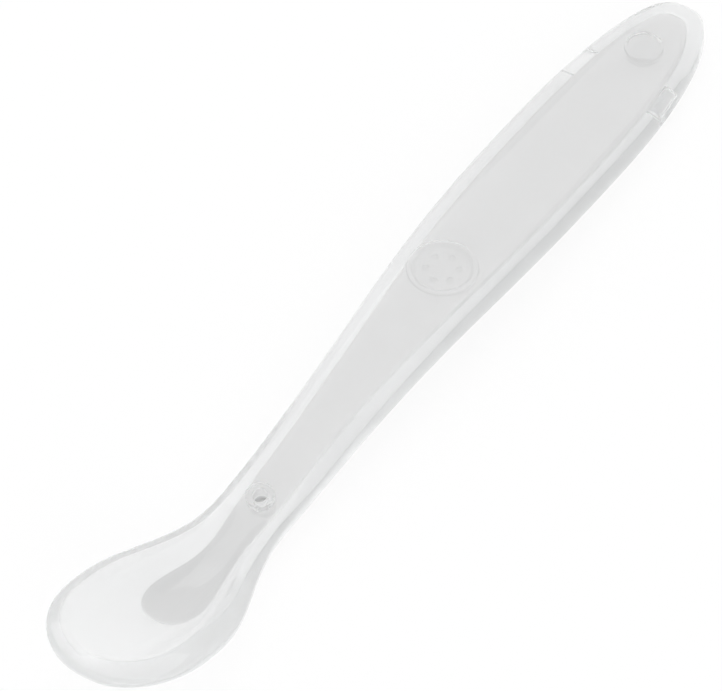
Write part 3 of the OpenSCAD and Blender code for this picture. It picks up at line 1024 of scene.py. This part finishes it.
class SPOON_OT_stage(bpy.types.Operator):
    """Make the floor, the soft light and the camera"""

    bl_idname = "spoon.stage"
    bl_label = "Studio"

    def execute(self, context):
        scene, stage = context.scene, context.scene.spoon_stage
        corners = np.array([[-1, -1], [1, -1], [1, 1], [-1, 1]]) * FLOOR_REACH
        corners = np.column_stack([corners, np.full(len(corners), -FLOOR_DROP)])
        floor = made_mesh("paper_floor", corners, np.arange(4), [4], paper_sweep(stage))

        world = bpy.data.worlds.new("white_studio")
        world.use_nodes = True
        tree = world.node_tree
        tree.nodes.clear()
        level = add_node(tree, "ShaderNodeMix", {2: WORLD_LIGHT, 3: WORLD_WHITE},
                         {0: seen_directly(tree)})
        sky = add_node(tree, "ShaderNodeBackground", {"Color": (*stage.backdrop, 1)},
                       {"Strength": level.outputs[0]})
        add_node(tree, "ShaderNodeOutputWorld", links={"Surface": sky.outputs[0]})
        scene.world = world

        aim = Vector((CAD_BOX[0].x + stage.aim_x, 0, stage.aim_z))
        soft_box("window_light", aim, **WINDOW_LIGHT)
        soft_box("front_light", aim, **FRONT_LIGHT)

        back = Vector((math.sin(stage.azimuth) * math.cos(stage.elevation),
                       -math.cos(stage.azimuth) * math.cos(stage.elevation),
                       math.sin(stage.elevation)))
        camera = bpy.data.objects.new("camera", bpy.data.cameras.new("camera"))
        camera.data.lens = camera.data.sensor_width * stage.distance / stage.frame_width
        camera.data.clip_start, camera.data.clip_end = (
            share * stage.distance for share in CLIP_SHARES)
        camera.location = aim + back * stage.distance
        camera.rotation_mode = "QUATERNION"
        upright = (-back).to_track_quat("-Z", "Y")
        camera.rotation_quaternion = upright @ Matrix.Rotation(stage.roll, 3, "Z").to_quaternion()
        scene.collection.objects.link(camera)
        scene.camera = camera
        scene.view_settings.view_transform = "Standard"
        for name, bounces in LIGHT_BOUNCES.items():
            setattr(scene.cycles, name, bounces)
        return {"FINISHED"}


GROUPS = {
    "spoon_bowl": SPOON_PG_bowl,
    "spoon_handle": SPOON_PG_handle,
    "spoon_core": SPOON_PG_core,
    "spoon_reliefs": SPOON_PG_reliefs,
    "spoon_looks": SPOON_PG_looks,
    "spoon_stage": SPOON_PG_stage,
}
OPERATORS = (
    SPOON_OT_silicone_body,
    SPOON_OT_core_strip,
    SPOON_OT_stage,
)


class SPOON_PT_panel(bpy.types.Panel):
    """The spoon's sizes and the buttons that make it"""

    bl_idname = "SPOON_PT_panel"
    bl_label = "Baby spoon"
    bl_space_type = "VIEW_3D"
    bl_region_type = "UI"
    bl_category = "Spoon"

    def draw(self, context):
        for name, group in GROUPS.items():
            box = self.layout.box()
            box.label(text=group.__doc__.split(".")[0])
            for prop in group.__annotations__:
                box.prop(getattr(context.scene, name), prop)
        for operator in OPERATORS:
            self.layout.operator(operator.bl_idname)


def register():
    """Registers the groups, the operators and the panel, and hangs the groups on the scene."""
    for group in GROUPS.values():
        bpy.utils.register_class(group)
    for operator in OPERATORS:
        bpy.utils.register_class(operator)
    bpy.utils.register_class(SPOON_PT_panel)
    for name, group in GROUPS.items():
        setattr(bpy.types.Scene, name, PointerProperty(type=group))


def unregister():
    """Takes off what register put on."""
    for name in GROUPS:
        delattr(bpy.types.Scene, name)
    bpy.utils.unregister_class(SPOON_PT_panel)
    for operator in reversed(OPERATORS):
        bpy.utils.unregister_class(operator)
    for group in reversed(GROUPS.values()):
        bpy.utils.unregister_class(group)


def main():
    """Makes every piece and the studio."""
    register()
    bpy.ops.spoon.silicone_body()
    bpy.ops.spoon.core_strip()
    bpy.ops.spoon.stage()


if __name__ == "__main__":
    main()
